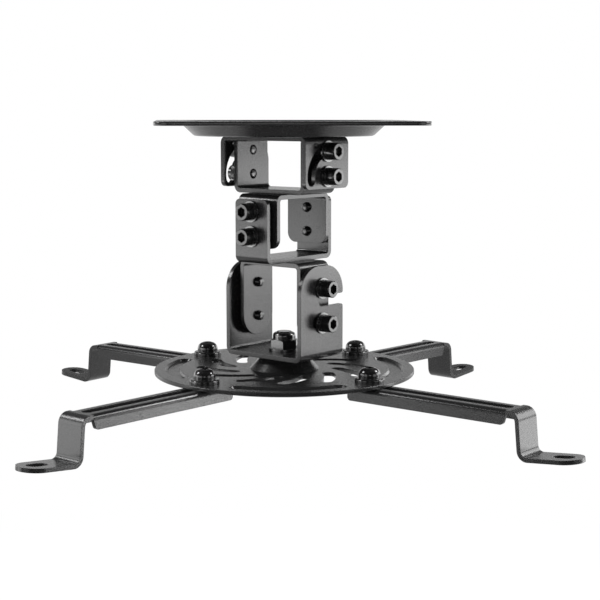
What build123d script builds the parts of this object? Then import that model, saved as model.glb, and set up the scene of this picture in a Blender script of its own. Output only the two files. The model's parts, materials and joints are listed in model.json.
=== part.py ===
from build123d import *
import math
import os

os.makedirs("parts", exist_ok=True)

# Ceiling plate: a square of sheet steel with a round dish pressed down in its middle
plate_side = 130.0
plate_thickness = 2.0
plate_corner_radius = 8.0
plate_edge_radius = 0.6
dish_mouth_radius = 50.5
dish_floor_radius = 44.5
dish_depth = 5.6
dish_bend_radius = 2.5
ceiling_slot_spacing = 100.0
ceiling_slot_length = 16.0
ceiling_slot_width = 6.6

# Folded brackets: every bracket is a U of one sheet, turned 45 degrees to the plate's sides
sheet = 2.3
bend_radius = 3.8
bracket_turn = 45.0
flange_gap = 2.6
collar_clearance = 0.05
collar_radius = 3.5

upper_bracket_width = 33.6
upper_bracket_depth = 25.8
upper_corner_radius = 3.0
upper_link_span = 46.4
upper_link_width = 24.0
upper_link_corner = 10.0
upper_pivot_drop = 19.7
upper_screw_pitch = 12.4
upper_slot_sweep = 98.0
link_floor_drop = 6.8
swing_clearance = 0.6
locating_hole_radius = 1.3
locating_hole_side = 9.0
locating_hole_drop = 4.4

roll_inner_span = 40.6
roll_inner_width = 25.6
roll_inner_corner = 5.0
roll_pivot_drop = 8.2
roll_screw_pitch = 12.4
roll_edge_distance = 6.1
roll_outer_width = 21.0
roll_outer_corner = 2.5
roll_outer_rise = 6.0
roll_floor_gap = 5.2
roll_swing = 8.0

tilt_inner_span = 40.2
tilt_inner_width = 22.4
tilt_pivot_drop = 12.7
tilt_screw_pitch = 17.6
tilt_edge_distance = 10.0
tilt_outer_width = 33.4
tilt_outer_rise = 11.3
tilt_outer_corner = 13.5
tilt_floor_drop = 34.0
tilt_swing = 15.0
hook_drop = 6.5
hook_lip_radius = 1.2

# Cap screws with spring and flat washers, two on every flange of the outer brackets
screw_radius = 2.5
screw_length = 8.0
screw_fit = 0.05
slot_width = 5.6
head_radius = 4.25
head_height = 5.0
head_chamfer = 0.4
socket_flats = 4.6
socket_depth = 2.6
flat_washer_radius = 5.3
flat_washer_thickness = 1.0
spring_washer_radius = 4.4
spring_washer_thickness = 1.3
spring_washer_split = 0.9
spring_washer_slant = 25.0
washer_hole_clearance = 0.15

# Swivel: a bolt on the disc's boss, held on the tilt bracket by a washer and a lock nut
swivel_radius = 4.0
swivel_fit = 0.05
swivel_head_flats = 13.0
swivel_head_height = 4.6
swivel_washer_radius = 8.0
swivel_washer_thickness = 1.2
lock_nut_flats = 13.0
lock_nut_hex_height = 4.6
lock_nut_collar_radius = 5.9
lock_nut_collar_height = 3.6
lock_nut_collar_rounding = 1.8
bolt_end_rise = 0.5
bolt_end_chamfer = 0.4
hex_turn = 20.0
hex_chamfer_slope = 30.0

# Pressed disc with a raised boss, swirl slots and four valleys along the rim
disc_radius = 66.8
disc_thickness = 2.0
disc_turn = -2.5
disc_edge_radius = 0.3
boss_height = 6.9
boss_top_radius = 11.5
boss_base_radius = 18.0
swirl_count = 12
swirl_inner_radius = 27.5
swirl_outer_radius = 42.5
swirl_start = 21.0
swirl_sweep = 24.0
swirl_bulge = 1.5
swirl_width = 6.0
valley_count = 4
valley_radius = 57.5
valley_width = 8.0
valley_depth = 1.2
valley_taper = 40.0
valley_sweep = 50.0

# Arms: channels that slide and turn on the disc's clamp screws, with a stepped foot
arm_count = 4
arm_start_angle = 45.0
arm_circle_radius = 57.0
arm_width = 16.0
arm_sheet = 2.0
arm_channel_depth = 7.0
arm_channel_radius = 2.6
arm_bend_radius = 5.0
arm_length = 114.8
arm_foot_length = 26.8
arm_foot_drop = 22.6
arm_leg_lean = 5.5
arm_flange_stop = 3.4
arm_flange_slant = 1.6
arm_flange_corner = 1.8
arm_tip_radius = 7.9
arm_slot_width = 5.6
arm_slot_margin = 4.0
arm_slot_to_bend = 0.6
foot_slot_width = 6.2
foot_slot_length = 10.5
foot_hole_to_tip = 9.5
clamp_flange_radius = 7.3
clamp_flange_thickness = 2.0
clamp_flange_rounding = 0.8
clamp_dome_radius = 5.4
clamp_dome_height = 5.0
clamp_dome_crown = 3.6
clamp_screw_reach = 9.0
clamp_socket_flats = 4.0
clamp_socket_depth = 2.4
arm_nut_flats = 9.0
arm_nut_height = 4.0

# Rest pose of each arm: quarter turn round the disc, swing from the radius, screw to foot hole
arm_poses = {
    "front_left": (180.0, 1.4, 103.3),
    "front_right": (270.0, 3.2, 107.2),
    "back_right": (0.0, -0.2, 95.8),
    "back_left": (90.0, 4.4, 103.3),
}

# Levels, from the ceiling face down
dish_bottom_z = -dish_depth - plate_thickness
upper_base_z = dish_bottom_z - sheet
upper_pivot_z = dish_bottom_z - upper_pivot_drop
upper_screw_z = upper_pivot_z + upper_screw_pitch
upper_bracket_end_z = dish_bottom_z - upper_bracket_depth
link_floor_z = upper_pivot_z - link_floor_drop
link_seam_z = link_floor_z - sheet
roll_pivot_z = link_seam_z - roll_pivot_drop
roll_screw_z = roll_pivot_z - roll_screw_pitch
roll_inner_end_z = roll_screw_z - roll_edge_distance
roll_outer_top_z = roll_pivot_z + roll_outer_rise
roll_floor_z = roll_inner_end_z - roll_floor_gap
tilt_seam_z = roll_floor_z - sheet
tilt_pivot_z = tilt_seam_z - tilt_pivot_drop
tilt_screw_z = tilt_pivot_z - tilt_screw_pitch
tilt_inner_end_z = tilt_screw_z - tilt_edge_distance
tilt_outer_top_z = tilt_pivot_z + tilt_outer_rise
tilt_floor_z = tilt_pivot_z - tilt_floor_drop
swivel_seat_z = tilt_floor_z - sheet
disc_top_z = swivel_seat_z - boss_height
disc_bottom_z = disc_top_z - disc_thickness

# Spans of the outer brackets follow the inner ones
upper_bracket_span = upper_link_span + 2 * (flange_gap + sheet)
roll_outer_span = roll_inner_span + 2 * (flange_gap + sheet)
tilt_outer_span = tilt_inner_span + 2 * (flange_gap + sheet)

thread_hole_radius = screw_radius + screw_fit
straight_up = 90.0
straight_down = -90.0
turn = math.radians(bracket_turn)
tilt_way = Vector(math.sin(turn), -math.cos(turn), 0)
roll_way = Vector(math.cos(turn), math.sin(turn), 0)
up = Vector(0, 0, 1)


def fold_plane(way):
    """Plane of a bracket's U profile: x along its span, y up."""
    return Plane(origin=(0, 0, 0), x_dir=way, z_dir=way.cross(up))


def flange_plane(way):
    """Plane of a bracket's flange outline: x across the strip, y up, facing along the span."""
    return Plane(origin=(0, 0, 0), x_dir=up.cross(way), z_dir=way)


def folded_profile(span, base_z, end_z):
    """Section of a folded U: flanges from the base to their free end."""
    inward = math.copysign(sheet, end_z - base_z)
    outer = span / 2
    inner = outer - sheet
    with BuildLine() as section:
        outside = FilletPolyline(
            (-outer, end_z), (-outer, base_z), (outer, base_z), (outer, end_z), radius=bend_radius
        )
        inside = FilletPolyline(
            (-inner, end_z),
            (-inner, base_z + inward),
            (inner, base_z + inward),
            (inner, end_z),
            radius=bend_radius - sheet,
        )
        Line(outside @ 0, inside @ 0)
        Line(outside @ 1, inside @ 1)
    make_face(section.edges())


def strip_outline(width, low_z, high_z):
    """Plain strip seen along the span, centred across it."""
    with Locations((0, (low_z + high_z) / 2)):
        Rectangle(width, high_z - low_z)


def screw_holes(radius, *heights):
    """Round holes on the strip's middle line, cut from the outline."""
    with Locations(*[(0, height) for height in heights]):
        Circle(radius, mode=Mode.SUBTRACT)


def arc_slot(pivot_z, radius, start, sweep):
    """Slot along an arc about a pivot on the strip's middle line, cut from the outline."""
    with BuildLine(mode=Mode.PRIVATE):
        path = CenterArc((0, pivot_z), radius, start, sweep)
    SlotArc(path, slot_width, mode=Mode.SUBTRACT)


def drawn_collars(way, span, *heights):
    """Threaded collars drawn out of both flanges, which fill the gap to the outer bracket."""
    reach = flange_gap - collar_clearance
    for side in (1, -1):
        outward = way * side
        face = Plane(origin=outward * (span / 2), x_dir=up.cross(outward), z_dir=outward)
        with BuildSketch(face) as collars:
            with Locations(*[(0, height) for height in heights]):
                Circle(collar_radius)
                Circle(thread_hole_radius, mode=Mode.SUBTRACT)
        extrude(collars.sketch, amount=reach)


def screw_seats(way, span, *heights):
    """Planes on the outer faces of a bracket's flanges, one for each screw, facing outward."""
    return [
        Plane(origin=way * (side * span / 2) + up * height, x_dir=up, z_dir=way * side)
        for side in (1, -1)
        for height in heights
    ]


# Ceiling plate
with BuildPart() as ceiling_plate:
    dish_rim = dish_mouth_radius + 2 * dish_bend_radius + plate_thickness
    with BuildSketch():
        RectangleRounded(plate_side, plate_side, plate_corner_radius)
        Circle(dish_rim, mode=Mode.SUBTRACT)
        with GridLocations(ceiling_slot_spacing, ceiling_slot_spacing, 2, 2):
            SlotOverall(ceiling_slot_length, ceiling_slot_width, mode=Mode.SUBTRACT)
    extrude(amount=-plate_thickness)
    flat_faces = faces().filter_by(Axis.Z)
    fillet([edge for face in flat_faces for edge in face.outer_wire().edges()], plate_edge_radius)
    with BuildSketch(Plane.XZ):
        wall_shift = plate_thickness * math.tan(
            math.atan2(dish_depth, dish_mouth_radius - dish_floor_radius) / 2
        )
        with BuildLine():
            upper_side = FilletPolyline(
                (0, -dish_depth),
                (dish_floor_radius, -dish_depth),
                (dish_mouth_radius, 0),
                (dish_rim, 0),
                radius=dish_bend_radius,
            )
            lower_side = FilletPolyline(
                (0, dish_bottom_z),
                (dish_floor_radius + wall_shift, dish_bottom_z),
                (dish_mouth_radius + wall_shift, -plate_thickness),
                (dish_rim, -plate_thickness),
                radius=dish_bend_radius,
            )
            Line(upper_side @ 0, lower_side @ 0)
            Line(upper_side @ 1, lower_side @ 1)
        make_face()
    revolve(axis=Axis.Z)
ceiling_plate.part.label = "ceiling_plate"
export_step(ceiling_plate.part, "parts/ceiling_plate.step")

# Upper bracket, welded under the dish, with the long swing slot in both flanges
with BuildPart() as upper_bracket:
    with BuildSketch(fold_plane(tilt_way)):
        folded_profile(upper_bracket_span, dish_bottom_z, upper_bracket_end_z)
    extrude(amount=upper_bracket_width / 2, both=True)
    with BuildSketch(flange_plane(tilt_way)):
        strip_outline(upper_bracket_width, upper_bracket_end_z, dish_bottom_z)
        fillet(vertices().group_by(Axis.Y)[0], upper_corner_radius)
        screw_holes(slot_width / 2, upper_pivot_z)
        arc_slot(upper_pivot_z, upper_screw_pitch, straight_up, upper_slot_sweep)
        with Locations((-locating_hole_side, upper_base_z - locating_hole_drop + sheet)):
            Circle(locating_hole_radius, mode=Mode.SUBTRACT)
    extrude(amount=upper_bracket_span, both=True, mode=Mode.INTERSECT)
upper_bracket.part.label = "upper_bracket"
export_step(upper_bracket.part, "parts/upper_bracket.step")

# Upper link: the U that swings inside the upper bracket, rounded where it passes under the base
with BuildPart() as upper_link:
    with BuildSketch(fold_plane(tilt_way)):
        folded_profile(upper_link_span, link_seam_z, upper_base_z)
    extrude(amount=upper_link_width / 2, both=True)
    with BuildSketch(flange_plane(tilt_way)):
        link_top_z = upper_base_z - swing_clearance
        strip_outline(upper_link_width, link_seam_z, link_top_z)
        rounded_corner = vertices().group_by(Axis.Y)[-1].sort_by(Axis.X)[-1]
        fillet(rounded_corner, upper_link_corner)
        screw_holes(thread_hole_radius, upper_pivot_z, upper_screw_z)
    extrude(amount=upper_link_span, both=True, mode=Mode.INTERSECT)
    drawn_collars(tilt_way, upper_link_span, upper_pivot_z, upper_screw_z)
upper_link.part.label = "upper_link"
export_step(upper_link.part, "parts/upper_link.step")

# Roll inner bracket, welded base to base under the upper link and turned a quarter
with BuildPart() as roll_inner_bracket:
    with BuildSketch(fold_plane(roll_way)):
        folded_profile(roll_inner_span, link_seam_z, roll_inner_end_z)
    extrude(amount=roll_inner_width / 2, both=True)
    with BuildSketch(flange_plane(roll_way)):
        strip_outline(roll_inner_width, roll_inner_end_z, link_seam_z)
        fillet(vertices().group_by(Axis.Y)[0], roll_inner_corner)
        screw_holes(thread_hole_radius, roll_pivot_z, roll_screw_z)
    extrude(amount=roll_inner_span, both=True, mode=Mode.INTERSECT)
    drawn_collars(roll_way, roll_inner_span, roll_pivot_z, roll_screw_z)
roll_inner_bracket.part.label = "roll_inner_bracket"
export_step(roll_inner_bracket.part, "parts/roll_inner_bracket.step")

# Roll outer bracket: a narrow U with short roll slots under the lower washers
with BuildPart() as roll_outer_bracket:
    with BuildSketch(fold_plane(roll_way)):
        folded_profile(roll_outer_span, tilt_seam_z, roll_outer_top_z)
    extrude(amount=roll_outer_width / 2, both=True)
    with BuildSketch(flange_plane(roll_way)):
        strip_outline(roll_outer_width, tilt_seam_z, roll_outer_top_z)
        fillet(vertices().group_by(Axis.Y)[-1], roll_outer_corner)
        screw_holes(slot_width / 2, roll_pivot_z)
        arc_slot(roll_pivot_z, roll_screw_pitch, straight_down - roll_swing, 2 * roll_swing)
    extrude(amount=roll_outer_span, both=True, mode=Mode.INTERSECT)
roll_outer_bracket.part.label = "roll_outer_bracket"
export_step(roll_outer_bracket.part, "parts/roll_outer_bracket.step")

# Tilt inner bracket, welded base to base under the roll bracket, with half-round ends
with BuildPart() as tilt_inner_bracket:
    with BuildSketch(fold_plane(tilt_way)):
        folded_profile(tilt_inner_span, tilt_seam_z, tilt_inner_end_z)
    extrude(amount=tilt_inner_width / 2, both=True)
    with BuildSketch(flange_plane(tilt_way)):
        round_z = tilt_inner_end_z + tilt_inner_width / 2
        strip_outline(tilt_inner_width, round_z, tilt_seam_z)
        with Locations((0, round_z)):
            Circle(tilt_inner_width / 2)
        screw_holes(thread_hole_radius, tilt_pivot_z, tilt_screw_z)
    extrude(amount=tilt_inner_span, both=True, mode=Mode.INTERSECT)
    drawn_collars(tilt_way, tilt_inner_span, tilt_pivot_z, tilt_screw_z)
tilt_inner_bracket.part.label = "tilt_inner_bracket"
export_step(tilt_inner_bracket.part, "parts/tilt_inner_bracket.step")

# Tilt outer bracket: it hooks over the upper screws and swings on them
with BuildPart() as tilt_outer_bracket:
    hook_z = tilt_pivot_z - hook_drop
    with BuildSketch(fold_plane(tilt_way)):
        folded_profile(tilt_outer_span, swivel_seat_z, tilt_outer_top_z)
    extrude(amount=tilt_outer_width / 2, both=True)
    with BuildSketch(flange_plane(tilt_way)):
        strip_outline(tilt_outer_width, swivel_seat_z, tilt_outer_top_z)
        fillet(vertices().group_by(Axis.Y)[-1], tilt_outer_corner)
        screw_holes(slot_width / 2, tilt_pivot_z, hook_z)
        with Locations((0, (tilt_pivot_z + hook_z) / 2)):
            Rectangle(slot_width, hook_drop, mode=Mode.SUBTRACT)
        with Locations((tilt_outer_width / 2, hook_z)):
            Rectangle(tilt_outer_width, slot_width, mode=Mode.SUBTRACT)
        seat_corner, lower_lip, upper_lip, *_ = vertices().group_by(Axis.X)[-1].sort_by(Axis.Y)
        fillet([lower_lip, upper_lip], hook_lip_radius)
        arc_slot(tilt_pivot_z, tilt_screw_pitch, straight_down - tilt_swing, 2 * tilt_swing)
    extrude(amount=tilt_outer_span, both=True, mode=Mode.INTERSECT)
    with BuildSketch(Plane.XY.offset(swivel_seat_z)):
        Circle(swivel_radius + swivel_fit)
    extrude(amount=sheet, mode=Mode.SUBTRACT)
tilt_outer_bracket.part.label = "tilt_outer_bracket"
export_step(tilt_outer_bracket.part, "parts/tilt_outer_bracket.step")

# One cap screw with its two washers, seated on the plane z = 0 and facing up
with BuildPart() as cap_screw:
    head_seat_z = flat_washer_thickness + spring_washer_thickness
    head_top_z = head_seat_z + head_height
    with BuildSketch(Plane.XY.offset(head_seat_z)):
        Circle(head_radius)
    extrude(amount=head_height)
    chamfer(edges().group_by(Axis.Z)[-1], head_chamfer)
    with BuildSketch(Plane.XY.offset(head_seat_z)):
        Circle(screw_radius)
    extrude(amount=-screw_length)
    with BuildSketch(Plane.XY.offset(head_top_z)):
        RegularPolygon(socket_flats / 2, 6, major_radius=False)
    extrude(amount=-socket_depth, mode=Mode.SUBTRACT)

with BuildPart() as spring_washer:
    with BuildSketch(Plane.XY.offset(flat_washer_thickness)):
        Circle(spring_washer_radius)
        Circle(screw_radius + washer_hole_clearance, mode=Mode.SUBTRACT)
        with Locations((spring_washer_radius, 0)):
            Rectangle(
                2 * spring_washer_radius,
                spring_washer_split,
                rotation=spring_washer_slant,
                mode=Mode.SUBTRACT,
            )
    extrude(amount=spring_washer_thickness)

with BuildPart() as flat_washer:
    with BuildSketch():
        Circle(flat_washer_radius)
        Circle(screw_radius + washer_hole_clearance, mode=Mode.SUBTRACT)
    extrude(amount=flat_washer_thickness)

# Screws and washers of the three bracket joints
joint_seats = {
    "upper": screw_seats(tilt_way, upper_bracket_span, upper_pivot_z, upper_screw_z),
    "roll": screw_seats(roll_way, roll_outer_span, roll_pivot_z, roll_screw_z),
    "tilt": screw_seats(tilt_way, tilt_outer_span, tilt_pivot_z, tilt_screw_z),
}
joint_fasteners = {
    "screws": cap_screw.part,
    "spring_washers": spring_washer.part,
    "flat_washers": flat_washer.part,
}
for joint_name, seats in joint_seats.items():
    for fastener_name, fastener in joint_fasteners.items():
        with BuildPart() as fastener_set:
            with Locations(*seats):
                add(fastener)
        fastener_set.part.label = f"{joint_name}_{fastener_name}"
        export_step(fastener_set.part, f"parts/{joint_name}_{fastener_name}.step")

# Disc
disc_plane = Plane(
    origin=(0, 0, disc_top_z),
    x_dir=(math.cos(math.radians(disc_turn)), math.sin(math.radians(disc_turn)), 0),
    z_dir=(0, 0, 1),
)
boss_wall_shift = disc_thickness * math.tan(
    math.atan2(boss_height, boss_base_radius - boss_top_radius) / 2
)
boss_hollow_radius = boss_base_radius - boss_wall_shift


def valley_outline(width):
    """Round-ended arcs along the rim, midway between the clamp screws."""
    for place in range(valley_count):
        middle = place * 360 / valley_count
        with BuildLine(mode=Mode.PRIVATE):
            path = CenterArc((0, 0), valley_radius, middle - valley_sweep / 2, valley_sweep)
        SlotArc(path, width)


with BuildPart() as disc:
    with BuildSketch(disc_plane):
        Circle(disc_radius)
        Circle(boss_hollow_radius, mode=Mode.SUBTRACT)
    extrude(amount=-disc_thickness)
    fillet(edges().filter_by(GeomType.CIRCLE).group_by(SortBy.RADIUS)[-1], disc_edge_radius)
    with BuildSketch(disc_plane.offset(-disc_thickness)):
        valley_outline(valley_width + 2 * disc_thickness * math.tan(math.radians(valley_taper / 2)))
    extrude(amount=-valley_depth, taper=valley_taper)
    with BuildSketch(disc_plane):
        valley_outline(valley_width)
    extrude(amount=-valley_depth, taper=valley_taper, mode=Mode.SUBTRACT)
    with BuildSketch(disc_plane):
        with BuildLine(mode=Mode.PRIVATE):
            start = Vector(swirl_inner_radius, 0).rotate(Axis.Z, swirl_start)
            end = Vector(swirl_outer_radius, 0).rotate(Axis.Z, swirl_start - swirl_sweep)
            path = SagittaArc(start, end, swirl_bulge)
        with PolarLocations(0, swirl_count):
            SlotArc(path, swirl_width)
        with PolarLocations(arm_circle_radius, arm_count, start_angle=arm_start_angle):
            Circle(screw_radius + screw_fit)
    extrude(amount=-disc_thickness, mode=Mode.SUBTRACT)
    with BuildSketch(Plane.XZ):
        with BuildLine():
            Polyline(
                (swivel_radius + swivel_fit, swivel_seat_z),
                (boss_top_radius, swivel_seat_z),
                (boss_base_radius, disc_top_z),
                (boss_base_radius, disc_bottom_z),
                (boss_hollow_radius, disc_bottom_z),
                (boss_top_radius - boss_wall_shift, swivel_seat_z - disc_thickness),
                (swivel_radius + swivel_fit, swivel_seat_z - disc_thickness),
                close=True,
            )
        make_face()
    revolve(axis=Axis.Z)
disc.part.label = "disc"
export_step(disc.part, "parts/disc.step")


def hex_blank(flats, seat_z, end_z):
    """Hexagon from its seat to its free end, where the corners are chamfered."""
    corner = flats / math.sqrt(3)
    drop = (corner - flats / 2) * math.tan(math.radians(hex_chamfer_slope))
    chamfer_z = end_z + math.copysign(drop, seat_z - end_z)
    with BuildSketch(Plane.XY.offset(seat_z)) as hexagon:
        RegularPolygon(flats / 2, 6, major_radius=False, rotation=hex_turn)
    extrude(hexagon.sketch, amount=end_z - seat_z)
    with BuildSketch(Plane.XZ) as envelope:
        with BuildLine() as rim:
            Polyline(
                (0, seat_z), (corner, seat_z), (corner, chamfer_z), (flats / 2, end_z), (0, end_z),
                close=True,
            )
        make_face(rim.edges())
    revolve(envelope.sketch, axis=Axis.Z, mode=Mode.INTERSECT)


# Swivel bolt, washer and lock nut
with BuildPart() as swivel_bolt:
    bolt_seat_z = swivel_seat_z - disc_thickness
    hex_blank(swivel_head_flats, bolt_seat_z, bolt_seat_z - swivel_head_height)
    nut_top_z = tilt_floor_z + swivel_washer_thickness + lock_nut_hex_height + lock_nut_collar_height
    with BuildSketch(Plane.XY.offset(bolt_seat_z)):
        Circle(swivel_radius)
    extrude(amount=nut_top_z + bolt_end_rise - bolt_seat_z)
    chamfer(edges().group_by(Axis.Z)[-1], bolt_end_chamfer)
swivel_bolt.part.label = "swivel_bolt"
export_step(swivel_bolt.part, "parts/swivel_bolt.step")

with BuildPart() as swivel_washer:
    with BuildSketch(Plane.XY.offset(tilt_floor_z)):
        Circle(swivel_washer_radius)
        Circle(swivel_radius + swivel_fit, mode=Mode.SUBTRACT)
    extrude(amount=swivel_washer_thickness)
swivel_washer.part.label = "swivel_washer"
export_step(swivel_washer.part, "parts/swivel_washer.step")

with BuildPart() as lock_nut:
    nut_seat_z = tilt_floor_z + swivel_washer_thickness
    hex_blank(lock_nut_flats, nut_seat_z, nut_seat_z + lock_nut_hex_height)
    with BuildSketch(Plane.XY.offset(nut_seat_z + lock_nut_hex_height)):
        Circle(lock_nut_collar_radius)
    extrude(amount=lock_nut_collar_height)
    fillet(edges().group_by(Axis.Z)[-1], lock_nut_collar_rounding)
    with BuildSketch(Plane.XY.offset(nut_seat_z)):
        Circle(swivel_radius + swivel_fit)
    extrude(amount=lock_nut_hex_height + lock_nut_collar_height, mode=Mode.SUBTRACT)
lock_nut.part.label = "lock_nut"
export_step(lock_nut.part, "parts/lock_nut.step")

# Clamp screws of the arms: low domes on a wide flange
with BuildPart() as clamp_screw:
    with BuildSketch(Plane.XY.offset(clamp_flange_thickness)):
        Circle(clamp_dome_radius)
    extrude(amount=clamp_dome_height)
    fillet(edges().group_by(Axis.Z)[-1], clamp_dome_crown)
    with BuildSketch():
        Circle(clamp_flange_radius)
    extrude(amount=clamp_flange_thickness)
    flange_rims = edges().filter_by(GeomType.CIRCLE).group_by(SortBy.RADIUS)[-1]
    fillet(flange_rims.sort_by(Axis.Z)[-1], clamp_flange_rounding)
    with BuildSketch():
        Circle(screw_radius)
    extrude(amount=-clamp_screw_reach)
    with BuildSketch(Plane.XY.offset(clamp_flange_thickness + clamp_dome_height)):
        RegularPolygon(clamp_socket_flats / 2, 6, major_radius=False)
    extrude(amount=-clamp_socket_depth, mode=Mode.SUBTRACT)

with BuildPart() as clamp_screws:
    with Locations(disc_plane):
        with PolarLocations(arm_circle_radius, arm_count, start_angle=arm_start_angle):
            add(clamp_screw.part)
clamp_screws.part.label = "clamp_screws"
export_step(clamp_screws.part, "parts/clamp_screws.step")


def arm_strip(offset, start):
    """Web end, leg and foot seen from the side, on the top face or one sheet below it.

    The leg leans outward and the foot stands square to it, so its toe points slightly up.
    """
    lean = math.radians(arm_leg_lean)
    down_leg = Vector(math.sin(lean), -math.cos(lean))
    along_foot = Vector(math.cos(lean), math.sin(lean))
    heel = Vector(foot_hole_to_tip - arm_foot_length, arm_sheet - arm_foot_drop)
    knee = Vector(heel.X + heel.Y * math.tan(lean), 0)
    web_shift = math.tan((math.radians(straight_up) - lean) / 2)
    return FilletPolyline(
        (start, -offset),
        knee - Vector(web_shift, 1) * offset,
        heel + (down_leg - along_foot) * offset,
        heel + along_foot * arm_foot_length + down_leg * offset,
        radius=[arm_bend_radius - offset, arm_bend_radius - arm_sheet + offset],
    )


# Arms and the square nuts that slide in their channels
flange_end = foot_hole_to_tip - arm_foot_length - arm_bend_radius - arm_flange_stop
slot_start = arm_slot_margin - arm_length
slot_end = flange_end - arm_slot_to_bend
for arm_name, (quarter, swing, reach) in arm_poses.items():
    spot_angle = math.radians(disc_turn + arm_start_angle + quarter)
    way_angle = spot_angle + math.radians(swing)
    way = Vector(math.cos(way_angle), math.sin(way_angle), 0)
    screw_spot = Vector(math.cos(spot_angle), math.sin(spot_angle), 0) * arm_circle_radius
    screw_spot = screw_spot + up * disc_bottom_z
    foot_spot = screw_spot + way * reach
    top_plane = Plane(origin=foot_spot, x_dir=way, z_dir=up)
    side_plane = Plane(origin=foot_spot, x_dir=way, z_dir=way.cross(up))
    inner_end_plane = Plane(origin=foot_spot - way * arm_length, x_dir=up.cross(way), z_dir=way)

    with BuildPart() as arm:
        with BuildSketch(inner_end_plane):
            half = arm_width / 2
            inside = half - arm_sheet
            with BuildLine():
                skin = FilletPolyline(
                    (-half, -arm_channel_depth), (-half, 0), (half, 0), (half, -arm_channel_depth),
                    radius=arm_channel_radius,
                )
                hollow = FilletPolyline(
                    (-inside, -arm_channel_depth),
                    (-inside, -arm_sheet),
                    (inside, -arm_sheet),
                    (inside, -arm_channel_depth),
                    radius=arm_channel_radius - arm_sheet,
                )
                Line(skin @ 0, hollow @ 0)
                Line(skin @ 1, hollow @ 1)
            make_face()
        extrude(amount=arm_length + flange_end)
        with BuildSketch(side_plane):
            with BuildLine():
                Polyline(
                    (-arm_length, 0),
                    (flange_end, 0),
                    (flange_end, -arm_sheet),
                    (flange_end - arm_flange_slant, -arm_channel_depth),
                    (-arm_length, -arm_channel_depth),
                    close=True,
                )
            make_face()
            fillet(vertices().group_by(Axis.Y)[0], arm_flange_corner)
        extrude(amount=arm_width, both=True, mode=Mode.INTERSECT)
        with BuildSketch(side_plane):
            with BuildLine():
                top_side = arm_strip(0, flange_end)
                low_side = arm_strip(arm_sheet, flange_end)
                Line(top_side @ 0, low_side @ 0)
                Line(top_side @ 1, low_side @ 1)
            make_face()
        extrude(amount=arm_width / 2, both=True)
        tip_face = faces().sort_by(Axis(foot_spot, way))[-1]
        fillet(tip_face.edges().sort_by(SortBy.LENGTH)[:2], arm_tip_radius)
        with BuildSketch(top_plane):
            with Locations(((slot_start + slot_end) / 2, 0)):
                SlotOverall(slot_end - slot_start, arm_slot_width)
            SlotOverall(foot_slot_length, foot_slot_width)
        extrude(amount=-arm_foot_drop, mode=Mode.SUBTRACT)
    arm.part.label = f"{arm_name}_arm"
    export_step(arm.part, f"parts/{arm_name}_arm.step")

    with BuildPart() as nut:
        with BuildSketch(Plane(origin=screw_spot - up * arm_sheet, x_dir=way, z_dir=up)):
            Rectangle(arm_nut_flats, arm_nut_flats)
            Circle(screw_radius + screw_fit, mode=Mode.SUBTRACT)
        extrude(amount=-arm_nut_height)
    nut.part.label = f"{arm_name}_nut"
    export_step(nut.part, f"parts/{arm_name}_nut.step")
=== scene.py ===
import bpy
import json
import math
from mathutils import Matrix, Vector


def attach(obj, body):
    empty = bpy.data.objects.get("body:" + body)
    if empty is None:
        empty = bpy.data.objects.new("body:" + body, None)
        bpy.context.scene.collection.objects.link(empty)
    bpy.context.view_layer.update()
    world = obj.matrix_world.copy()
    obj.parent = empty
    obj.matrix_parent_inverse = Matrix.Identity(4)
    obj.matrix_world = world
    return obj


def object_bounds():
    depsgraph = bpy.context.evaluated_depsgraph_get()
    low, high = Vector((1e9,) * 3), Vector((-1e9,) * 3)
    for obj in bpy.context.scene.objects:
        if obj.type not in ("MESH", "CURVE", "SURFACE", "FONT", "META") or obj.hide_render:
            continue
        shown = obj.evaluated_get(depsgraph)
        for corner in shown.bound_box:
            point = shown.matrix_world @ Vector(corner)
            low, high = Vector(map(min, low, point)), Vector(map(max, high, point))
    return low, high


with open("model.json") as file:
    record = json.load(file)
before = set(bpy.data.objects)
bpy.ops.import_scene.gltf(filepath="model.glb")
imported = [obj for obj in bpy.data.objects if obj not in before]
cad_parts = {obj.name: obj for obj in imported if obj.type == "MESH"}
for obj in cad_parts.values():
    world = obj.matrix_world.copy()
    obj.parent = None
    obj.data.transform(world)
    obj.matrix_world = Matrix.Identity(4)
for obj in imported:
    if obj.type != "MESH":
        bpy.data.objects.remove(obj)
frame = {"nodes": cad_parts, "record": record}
cad_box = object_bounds()

# Camera, in metres and degrees, found from the object's own corners in the photograph
CAMERA_PLACE = (-0.0559, -0.7102, 0.0043)
CAMERA_YAW = -5.15
CAMERA_PITCH = 7.65
LEVEL_VIEW = 90.0
FOCAL_PIXELS = 1400.0
PICTURE_PIXELS = 600.0
SENSOR_MM = 36.0
NEAREST_SEEN = 0.01

# Range that most noise values fill, and the blue of a neutral grey against its red and green
NOISE_RANGE = (0.3, 0.7)
COOL_BLUE = 1.02

# Powder coat: linear grey level, sizes in metres, and what the noise does to the level and the roughness
COAT_GREY = 0.011
COAT_ROUGHNESS = 0.23
COAT_INDEX = 1.45
COAT_CLOUD_SIZE = 0.02
COAT_CLOUD_DETAIL = 4.0
COAT_CLOUD_SHARES = (0.88, 1.12)
COAT_GRAIN = 0.00045
COAT_GRAIN_DETAIL = 2.0
COAT_GRAIN_STEPS = (-0.04, 0.05)
COAT_BUMP = 0.28
COAT_BUMP_HEIGHT = 0.00012
EDGE_ROUNDING = 0.00035

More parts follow.
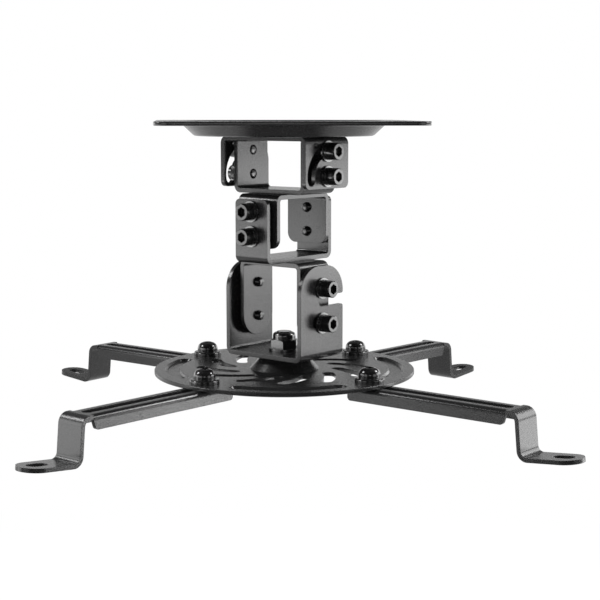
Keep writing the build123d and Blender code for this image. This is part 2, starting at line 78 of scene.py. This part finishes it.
# Black oxide of the screws, the washers and the lock nut, in the same units
OXIDE_GREY = 0.006
OXIDE_ROUGHNESS = 0.15
OXIDE_INDEX = 1.55
NUT_ROUGHNESS = 0.18
NUT_INDEX = 1.9
WASHER_GREY = 0.008
WASHER_ROUGHNESS = 0.22
WASHER_INDEX = 1.9
MARKS_SIZE = 0.0006
MARKS_DETAIL = 3.0
MARKS_SHARES = (0.8, 1.3)
MARKS_STEPS = (-0.04, 0.06)
MARKS_BUMP = 0.10
MARKS_BUMP_HEIGHT = 0.00005
OXIDE_ROUNDING = 0.7 * EDGE_ROUNDING

# Threaded ends of the bracket screws, in metres: the body they ride on, the direction across the flanges,
# the distance of the flanges' inner faces from the middle, the screws' heights, how far they stand out
DIAGONAL = math.sqrt(0.5)
SCREW_ENDS = (
    ("upper_link", (DIAGONAL, -DIAGONAL), 0.0209, (-0.0273, -0.0149), 0.0003),
    ("upper_link", (DIAGONAL, DIAGONAL), 0.0180, (-0.0446, -0.0570), 0.0020),
    ("roll_bracket", (DIAGONAL, -DIAGONAL), 0.0178, (-0.0833, -0.1009), 0.0026),
)
SCREW_END_DEPTH = 0.0017
THREAD_RADIUS = 0.00245
THREAD_PITCH = 0.0008
THREAD_DEPTH = 0.0002
THREAD_ROOT = THREAD_RADIUS - THREAD_DEPTH
DOME_HEIGHT = 0.0007
DOME_STEPS = 6
DOME_FIRST_ANGLE = 10.0
DOME_ANGLE_STEP = 15.0
TURN_STEPS = 32

# Floor, in metres: it glows for the camera, by a share that grows to 1 between two distances from its middle
FLOOR_SIZE = 6.0
FLOOR_DROP = 0.16
FLOOR_GREY = 0.92
FLOOR_GLOW = 0.75
FLOOR_FADE = (0.16, 0.42)

# White in the reflections: dim in front, by ranges along Y of the floor and the sky, and dim high up
FRONT_LEVEL = 0.03
FLOOR_DIMMING = (-0.22, 0.06)
SKY_DIMMING = (-0.7, 0.2)
SKY_HEIGHTS = (0.12, 0.25)
HIGH_SKY = 0.20
SKY_FILL = 0.30

# Lamps, in metres and watts: name, place, the point it looks at, width, height, power
LAMPS = (
    ("right", (0.28, -0.01, -0.066), (0.0, -0.01, -0.066), 0.22, 0.096, 0.34),
    ("left", (-0.28, -0.05, -0.086), (0.0, -0.05, -0.086), 0.22, 0.076, 0.19),
    ("right_glint", (0.50, 0.06, 0.29), (0.0, 0.0, -0.12), 0.18, 0.18, 2.0),
    ("left_glint", (-0.50, 0.06, 0.29), (0.0, 0.0, -0.12), 0.18, 0.18, 1.8),
    ("right_card", (0.45, -0.01, -0.186), (0.0, -0.01, -0.186), 0.16, 0.10, 0.22),
    ("left_card", (-0.45, -0.08, -0.178), (0.0, -0.08, -0.178), 0.16, 0.10, 0.16),
    ("right_low", (0.41, -0.12, -0.238), (0.0, -0.09, -0.238), 0.18, 0.05, 0.28),
    ("left_low", (-0.40, -0.20, -0.238), (0.0, -0.10, -0.238), 0.18, 0.05, 0.09),
    ("front", (-0.05, -1.20, 0.06), (0.0, 0.0, 0.0), 0.5, 0.12, 0.7),
    ("corner_0", (-0.6, -0.6, -0.02), (0.0, 0.0, -0.08), 0.45, 0.35, 0.9),
    ("corner_1", (0.6, -0.6, -0.02), (0.0, 0.0, -0.08), 0.45, 0.35, 0.9),
    ("corner_2", (-0.6, 0.6, -0.02), (0.0, 0.0, -0.08), 0.45, 0.35, 0.9),
    ("corner_3", (0.6, 0.6, -0.02), (0.0, 0.0, -0.08), 0.45, 0.35, 0.9),
)
TOP_LAMP = ("top", (0.0, -0.35, 0.95), (0.0, 0.0, -0.10), 0.7, 0.7, 7.0)


def new_material(name):
    """A node material with its node tree and its shader."""
    material = bpy.data.materials.new(name)
    material.use_nodes = True
    tree = material.node_tree
    tree.nodes.clear()
    output = tree.nodes.new("ShaderNodeOutputMaterial")
    shader = tree.nodes.new("ShaderNodeBsdfPrincipled")
    tree.links.new(shader.outputs["BSDF"], output.inputs["Surface"])
    return material, tree, shader


def noise(tree, size, detail):
    """Noise on object coordinates, with features of the given size in metres."""
    coordinates = tree.nodes.new("ShaderNodeTexCoord")
    texture = tree.nodes.new("ShaderNodeTexNoise")
    texture.inputs["Scale"].default_value = 1.0 / size
    texture.inputs["Detail"].default_value = detail
    tree.links.new(coordinates.outputs["Object"], texture.inputs["Vector"])
    return texture.outputs["Fac"]


def map_range(tree, value, start, end, low, high):
    """A node that maps one range onto another and clamps it."""
    node = tree.nodes.new("ShaderNodeMapRange")
    node.inputs["From Min"].default_value = start
    node.inputs["From Max"].default_value = end
    node.inputs["To Min"].default_value = low
    node.inputs["To Max"].default_value = high
    tree.links.new(value, node.inputs["Value"])
    return node


def spread(tree, value, middle, steps):
    """A noise value mapped onto a range around a middle value."""
    low, high = steps
    return map_range(tree, value, *NOISE_RANGE, middle + low, middle + high).outputs["Result"]


def faded(tree, value, start, end, low, high):
    """One range mapped onto another with soft ends."""
    node = map_range(tree, value, start, end, low, high)
    node.interpolation_type = "SMOOTHSTEP"
    return node.outputs["Result"]


def grey(tree, value, level, shares):
    """A neutral colour that varies with a noise value, between two shares of a level."""
    ramp = tree.nodes.new("ShaderNodeValToRGB")
    for element, share, position in zip(ramp.color_ramp.elements, shares, NOISE_RANGE):
        element.color = (level * share, level * share, level * share * COOL_BLUE, 1.0)
        element.position = position
    tree.links.new(value, ramp.inputs["Fac"])
    return ramp.outputs["Color"]


def rounded_normal(tree, shader, height, strength, distance, rounding):
    """Grain as bump over edges that catch the light as if slightly rounded."""
    bevel = tree.nodes.new("ShaderNodeBevel")
    bevel.inputs["Radius"].default_value = rounding
    bump = tree.nodes.new("ShaderNodeBump")
    bump.inputs["Strength"].default_value = strength
    bump.inputs["Distance"].default_value = distance
    tree.links.new(height, bump.inputs["Height"])
    tree.links.new(bevel.outputs["Normal"], bump.inputs["Normal"])
    tree.links.new(bump.outputs["Normal"], shader.inputs["Normal"])


def powder_coat():
    """Satin black powder coat: fine orange-peel grain and faint cloudiness."""
    material, tree, shader = new_material("powder_coat")
    grain = noise(tree, COAT_GRAIN, COAT_GRAIN_DETAIL)
    clouds = noise(tree, COAT_CLOUD_SIZE, COAT_CLOUD_DETAIL)
    colour = grey(tree, clouds, COAT_GREY, COAT_CLOUD_SHARES)
    roughness = spread(tree, grain, COAT_ROUGHNESS, COAT_GRAIN_STEPS)
    tree.links.new(colour, shader.inputs["Base Color"])
    tree.links.new(roughness, shader.inputs["Roughness"])
    shader.inputs["IOR"].default_value = COAT_INDEX
    rounded_normal(tree, shader, grain, COAT_BUMP, COAT_BUMP_HEIGHT, EDGE_ROUNDING)
    return material


def black_oxide(name, level, middle_roughness, index):
    """Black screws and washers: smoother than the coat, with faint turning marks."""
    material, tree, shader = new_material(name)
    marks = noise(tree, MARKS_SIZE, MARKS_DETAIL)
    colour = grey(tree, marks, level, MARKS_SHARES)
    roughness = spread(tree, marks, middle_roughness, MARKS_STEPS)
    tree.links.new(colour, shader.inputs["Base Color"])
    tree.links.new(roughness, shader.inputs["Roughness"])
    shader.inputs["IOR"].default_value = index
    rounded_normal(tree, shader, marks, MARKS_BUMP, MARKS_BUMP_HEIGHT, OXIDE_ROUNDING)
    return material


def dress(materials):
    """Gives every CAD node the finish of its slot in the record."""
    for entry in frame["record"]["subparts"]:
        node = frame["nodes"][entry["node"]]
        node.data.materials.clear()
        node.data.materials.append(materials[entry["material_slot"]])


def screw_end_profile(length):
    """Points (along, radius) of a threaded end with a low dome, from inside the hole to its tip."""
    points = [(0.0, THREAD_RADIUS)]
    crest = THREAD_PITCH
    while crest < length - DOME_HEIGHT:
        points.append((crest - THREAD_PITCH / 2, THREAD_ROOT))
        points.append((crest, THREAD_RADIUS))
        crest += THREAD_PITCH
    for step in range(DOME_STEPS):
        angle = math.radians(DOME_FIRST_ANGLE + DOME_ANGLE_STEP * step)
        along = length - DOME_HEIGHT * (1.0 - math.sin(angle))
        points.append((along, THREAD_ROOT * math.cos(angle)))
    return points


def turned(profile, place, way):
    """Vertices and faces of a profile turned about a level axis from a place, closed at both ends."""
    axis = Vector(way)
    up = Vector((0.0, 0.0, 1.0))
    side = axis.cross(up)
    vertices = []
    for along, radius in profile:
        for step in range(TURN_STEPS):
            angle = 2.0 * math.pi * step / TURN_STEPS
            offset = side * (radius * math.cos(angle)) + up * (radius * math.sin(angle))
            vertices.append(Vector(place) + axis * along + offset)
    tip = (len(profile) - 1) * TURN_STEPS
    faces = []
    for low in range(0, tip, TURN_STEPS):
        high = low + TURN_STEPS
        for step in range(TURN_STEPS):
            follow = (step + 1) % TURN_STEPS
            faces.append((low + step, high + step, high + follow, low + follow))
    faces.append(tuple(range(TURN_STEPS)))
    faces.append(tuple(reversed(range(tip, tip + TURN_STEPS))))
    return vertices, faces


def screw_ends(material):
    """The screws' threaded ends, which stand out of the inner brackets' flanges."""
    for index, (body, (x, y), inner_face, heights, out) in enumerate(SCREW_ENDS):
        profile = screw_end_profile(SCREW_END_DEPTH + out)
        vertices = []
        faces = []
        for side in (1, -1):
            start = (inner_face + SCREW_END_DEPTH) * side
            way = (-x * side, -y * side, 0.0)
            for height in heights:
                points, rings = turned(profile, (x * start, y * start, height), way)
                faces += [tuple(corner + len(vertices) for corner in ring) for ring in rings]
                vertices += points
        mesh = bpy.data.meshes.new(f"screw_ends_{index}")
        mesh.from_pydata(vertices, [], faces)
        mesh.update()
        mesh.materials.append(material)
        ends = bpy.data.objects.new(f"screw_ends_{index}", mesh)
        bpy.context.scene.collection.objects.link(ends)
        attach(ends, body)


def math_node(tree, operation, first, second):
    """A math node on two sockets or numbers."""
    node = tree.nodes.new("ShaderNodeMath")
    node.operation = operation
    for socket, value in zip(node.inputs, (first, second)):
        if isinstance(value, bpy.types.NodeSocket):
            tree.links.new(value, socket)
        else:
            socket.default_value = value
    return node.outputs["Value"]


def floor_material():
    """Pale floor that can hold a soft shadow near its middle, fades to white and reflects dimly in front."""
    material = bpy.data.materials.new("floor")
    material.use_nodes = True
    tree = material.node_tree
    tree.nodes.clear()
    output = tree.nodes.new("ShaderNodeOutputMaterial")
    diffuse = tree.nodes.new("ShaderNodeBsdfDiffuse")
    diffuse.inputs["Color"].default_value = (FLOOR_GREY, FLOOR_GREY, FLOOR_GREY, 1.0)
    glow = tree.nodes.new("ShaderNodeEmission")
    coordinates = tree.nodes.new("ShaderNodeTexCoord")
    distance = tree.nodes.new("ShaderNodeVectorMath")
    distance.operation = "LENGTH"
    tree.links.new(coordinates.outputs["Object"], distance.inputs[0])
    place = tree.nodes.new("ShaderNodeSeparateXYZ")
    tree.links.new(coordinates.outputs["Object"], place.inputs["Vector"])
    path = tree.nodes.new("ShaderNodeLightPath")
    share = faded(tree, distance.outputs["Value"], *FLOOR_FADE, FLOOR_GLOW, 1.0)
    share = math_node(tree, "MULTIPLY", share, path.outputs["Is Camera Ray"])
    share = math_node(tree, "MAXIMUM", share, path.outputs["Is Glossy Ray"])
    white = faded(tree, place.outputs["Y"], *FLOOR_DIMMING, FRONT_LEVEL, 1.0)
    white = math_node(tree, "MAXIMUM", white, path.outputs["Is Camera Ray"])
    tree.links.new(white, glow.inputs["Strength"])
    mix = tree.nodes.new("ShaderNodeMixShader")
    tree.links.new(share, mix.inputs["Fac"])
    tree.links.new(diffuse.outputs["BSDF"], mix.inputs[1])
    tree.links.new(glow.outputs["Emission"], mix.inputs[2])
    tree.links.new(mix.outputs["Shader"], output.inputs["Surface"])
    return material


def floor():
    """The floor, so far below the hanging mount that its moving arms stay clear of it."""
    low, _ = cad_box
    bpy.ops.mesh.primitive_plane_add(size=FLOOR_SIZE, location=(0, 0, low[2] - FLOOR_DROP))
    plane = bpy.context.object
    plane.name = "floor"
    plane.data.materials.append(floor_material())


def sky():
    """White studio for the camera, dim in front and high up for reflections, a soft fill for the rest."""
    world = bpy.data.worlds.new("studio")
    bpy.context.scene.world = world
    world.use_nodes = True
    tree = world.node_tree
    tree.nodes.clear()
    output = tree.nodes.new("ShaderNodeOutputWorld")
    coordinates = tree.nodes.new("ShaderNodeTexCoord")
    direction = tree.nodes.new("ShaderNodeSeparateXYZ")
    tree.links.new(coordinates.outputs["Generated"], direction.inputs["Vector"])
    path = tree.nodes.new("ShaderNodeLightPath")
    white = faded(tree, direction.outputs["Y"], *SKY_DIMMING, FRONT_LEVEL, 1.0)
    high = faded(tree, direction.outputs["Z"], *SKY_HEIGHTS, 1.0, HIGH_SKY)
    white = math_node(tree, "MULTIPLY", white, high)
    white = math_node(tree, "MAXIMUM", white, path.outputs["Is Camera Ray"])
    seen = math_node(tree, "MAXIMUM", path.outputs["Is Camera Ray"], path.outputs["Is Glossy Ray"])
    direct = math_node(tree, "MULTIPLY", white, seen)
    unseen = math_node(tree, "SUBTRACT", 1.0, seen)
    fill = math_node(tree, "MULTIPLY", unseen, SKY_FILL)
    background = tree.nodes.new("ShaderNodeBackground")
    background.inputs["Color"].default_value = (1.0, 1.0, 1.0, 1.0)
    tree.links.new(math_node(tree, "ADD", direct, fill), background.inputs["Strength"])
    tree.links.new(background.outputs["Background"], output.inputs["Surface"])


def softbox(name, place, aim, width, height, power):
    """A rectangular area lamp that looks at a point."""
    lamp = bpy.data.lights.new(name, "AREA")
    lamp.shape = "RECTANGLE"
    lamp.size = width
    lamp.size_y = height
    lamp.energy = power
    light = bpy.data.objects.new(name, lamp)
    light.location = place
    light.rotation_euler = (Vector(aim) - Vector(place)).to_track_quat("-Z", "Y").to_euler()
    bpy.context.scene.collection.objects.link(light)
    return light


def lamps():
    """All the lamps. The large one above shows in no reflection."""
    for row in LAMPS:
        softbox(*row)
    top = softbox(*TOP_LAMP)
    top.visible_glossy = False


def camera():
    """The photograph's viewpoint."""
    data = bpy.data.cameras.new("camera")
    data.sensor_width = SENSOR_MM
    data.lens = FOCAL_PIXELS / PICTURE_PIXELS * SENSOR_MM
    data.clip_start = NEAREST_SEEN
    view = bpy.data.objects.new("camera", data)
    view.location = CAMERA_PLACE
    view.rotation_euler = (math.radians(LEVEL_VIEW - CAMERA_PITCH), 0.0, math.radians(CAMERA_YAW))
    bpy.context.scene.collection.objects.link(view)
    bpy.context.scene.camera = view


finishes = {
    "powder_coat": powder_coat(),
    "fasteners": black_oxide("fasteners", OXIDE_GREY, OXIDE_ROUGHNESS, OXIDE_INDEX),
    "washers": black_oxide("washers", WASHER_GREY, WASHER_ROUGHNESS, WASHER_INDEX),
}
nut_finish = black_oxide("lock_nut", OXIDE_GREY, NUT_ROUGHNESS, NUT_INDEX)
dress(finishes)
frame["nodes"]["lock_nut"].data.materials[0] = nut_finish
screw_ends(finishes["fasteners"])
floor()
sky()
lamps()
camera()
bpy.context.scene.view_settings.view_transform = "Standard"
